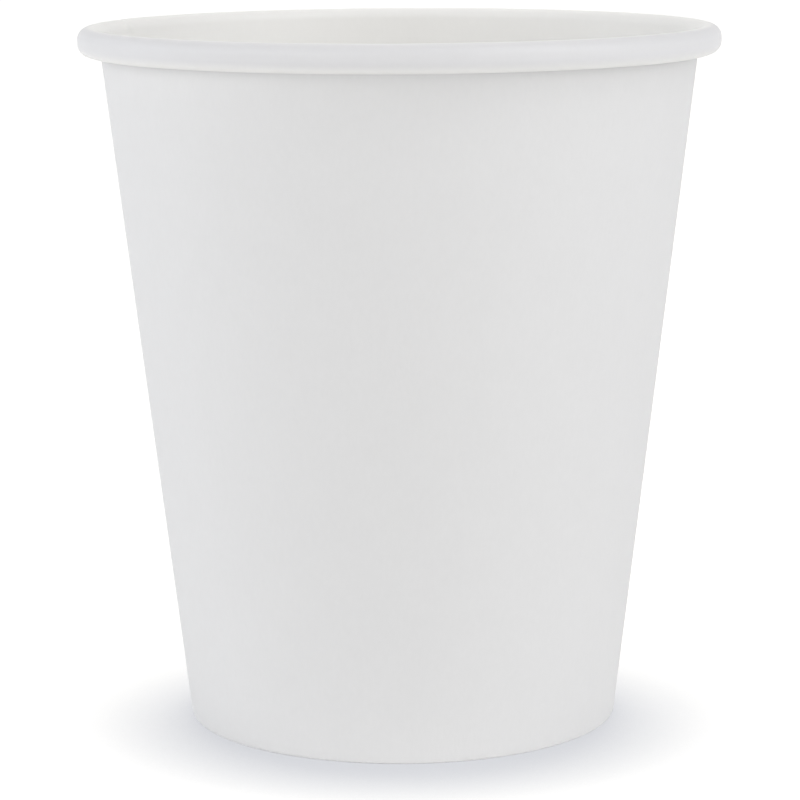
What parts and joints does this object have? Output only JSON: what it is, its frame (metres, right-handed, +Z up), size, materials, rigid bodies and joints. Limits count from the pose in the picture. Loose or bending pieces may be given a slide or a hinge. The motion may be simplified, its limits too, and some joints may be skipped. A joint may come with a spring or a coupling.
{
  "type": "paper coffee cup",
  "caption": "Plain single-wall paper cup for hot drinks: conical wall with a lapped side seam, outward-rolled rim, and a recessed bottom held in a folded foot.",
  "frame": {"origin": "centre of the foot's resting plane, on the axis of the cup", "axes": "+Z up along the axis towards the rim; the middle of the side seam faces 165 degrees from +X towards +Y, just behind -X"},
  "size_m": [0.09, 0.09, 0.0985],
  "materials": {
    "wall_board": "smooth uncoated white board outside, thin glossy lining inside",
    "bottom_board": "smooth white board, thin glossy lining on top"
  },
  "bodies": {
    "root": {"side_wall": "wall_board", "bottom_disc": "bottom_board"}
  },
  "joints": []
}
